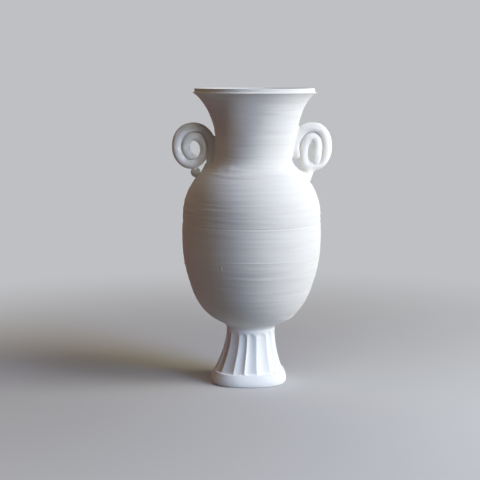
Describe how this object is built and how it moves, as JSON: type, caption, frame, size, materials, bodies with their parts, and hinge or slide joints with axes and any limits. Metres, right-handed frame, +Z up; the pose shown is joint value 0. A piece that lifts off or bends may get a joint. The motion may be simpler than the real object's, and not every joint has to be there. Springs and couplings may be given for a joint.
{
  "type": "pedestal vase",
  "caption": "Tall pedestal vase: trumpet neck and rounded body on a stem of scooped flutes and a squarish foot slab, with a spiral coil handle on each side of the neck.",
  "frame": {"origin": "on the axis of the body, in the plane that the foot stands on", "axes": "+Z up along the vase, +X towards the right handle seen from the front, -Y towards the front"},
  "size_m": [0.2414, 0.2114, 0.45],
  "materials": {
    "thrown_clay": "matt unglazed white clay with fine throwing rings",
    "carved_clay": "matt unglazed white clay with tool marks",
    "coiled_clay": "matt unglazed white clay, smoothed by hand"
  },
  "bodies": {
    "root": {"foot_slab": "carved_clay", "fluted_stem": "carved_clay", "lower_body": "thrown_clay", "upper_body": "thrown_clay", "neck": "thrown_clay", "rim_band": "thrown_clay", "left_handle_coil": "coiled_clay", "left_handle_pellet": "coiled_clay", "right_handle_coil": "coiled_clay", "right_handle_pellet": "coiled_clay"}
  },
  "joints": []
}
